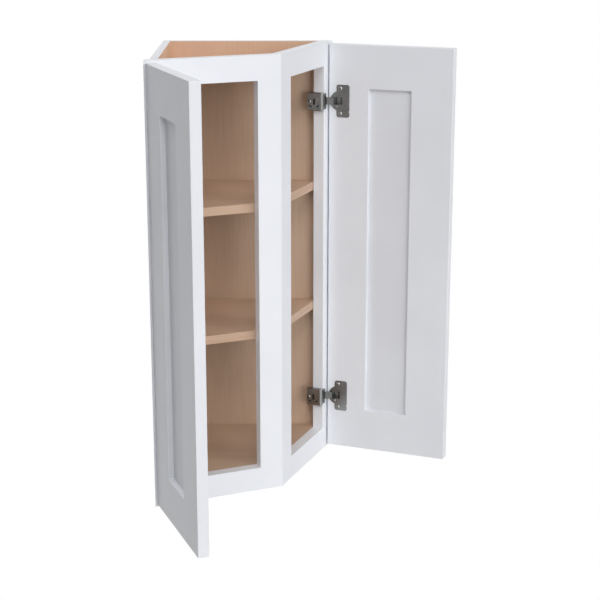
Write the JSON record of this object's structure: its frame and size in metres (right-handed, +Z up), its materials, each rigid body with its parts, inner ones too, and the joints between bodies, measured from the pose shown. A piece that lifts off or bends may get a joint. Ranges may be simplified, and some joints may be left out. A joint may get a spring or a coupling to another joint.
{
  "type": "angled end wall cabinet",
  "caption": "Angled end wall cabinet: mitred face frames turn the end of a run of wall cabinets back to the wall, with framed doors on face-frame hinges and loose shelves inside.",
  "frame": {"origin": "on the wall plane, at the middle of the cabinet's bottom edge", "axes": "+X along the wall away from the neighbouring cabinet, +Y into the wall, +Z up"},
  "size_m": [0.5207, 0.5207, 0.762],
  "materials": {
    "white_paint": "white satin paint on hardwood",
    "veneered_panel": "clear-coated maple veneer inside, white paint outside and on the edges",
    "maple_shelf": "clear-coated maple veneer",
    "nickel_plate": "satin nickel plate on pressed steel"
  },
  "bodies": {
    "cabinet": {"back_panel": "veneered_panel", "bottom_panel": "veneered_panel", "left_frame_bottom_rail": "white_paint", "left_frame_centre_stile": "white_paint", "left_frame_hinge_stile": "white_paint", "left_frame_top_rail": "white_paint", "left_hinge_adjusters": "nickel_plate", "left_hinge_clip_screws": "nickel_plate", "left_lower_hinge_arm": "nickel_plate", "left_lower_hinge_clip": "nickel_plate", "left_side_panel": "veneered_panel", "left_upper_hinge_arm": "nickel_plate", "left_upper_hinge_clip": "nickel_plate", "lower_shelf": "maple_shelf", "lower_shelf_brackets": "nickel_plate", "right_frame_bottom_rail": "white_paint", "right_frame_centre_stile": "white_paint", "right_frame_hinge_stile": "white_paint", "right_frame_top_rail": "white_paint", "right_hinge_adjusters": "nickel_plate", "right_hinge_clip_screws": "nickel_plate", "right_lower_hinge_arm": "nickel_plate", "right_lower_hinge_clip": "nickel_plate", "right_upper_hinge_arm": "nickel_plate", "right_upper_hinge_clip": "nickel_plate", "top_panel": "veneered_panel", "upper_shelf": "maple_shelf", "upper_shelf_brackets": "nickel_plate"},
    "left_door": {"left_door_bottom_rail": "white_paint", "left_door_free_stile": "white_paint", "left_door_hinge_stile": "white_paint", "left_door_panel": "white_paint", "left_door_top_rail": "white_paint", "left_hinge_cup_screws": "nickel_plate", "left_lower_hinge_cup": "nickel_plate", "left_lower_hinge_pin": "nickel_plate", "left_upper_hinge_cup": "nickel_plate", "left_upper_hinge_pin": "nickel_plate"},
    "right_door": {"right_door_bottom_rail": "white_paint", "right_door_free_stile": "white_paint", "right_door_hinge_stile": "white_paint", "right_door_panel": "white_paint", "right_door_top_rail": "white_paint", "right_hinge_cup_screws": "nickel_plate", "right_lower_hinge_cup": "nickel_plate", "right_lower_hinge_pin": "nickel_plate", "right_upper_hinge_cup": "nickel_plate", "right_upper_hinge_pin": "nickel_plate"}
  },
  "joints": [
    {"name": "left_door_hinge", "type": "hinge", "parent": "cabinet", "child": "left_door", "pos_m": [-0.1362, -0.31199, 0.381], "axis": [0, 0, -1], "range_deg": [-91.5, 6.5]},
    {"name": "right_door_hinge", "type": "hinge", "parent": "cabinet", "child": "right_door", "pos_m": [0.15799, -0.0178, 0.381], "axis": [0, 0, 1], "range_deg": [-91.5, 6.5]}
  ]
}
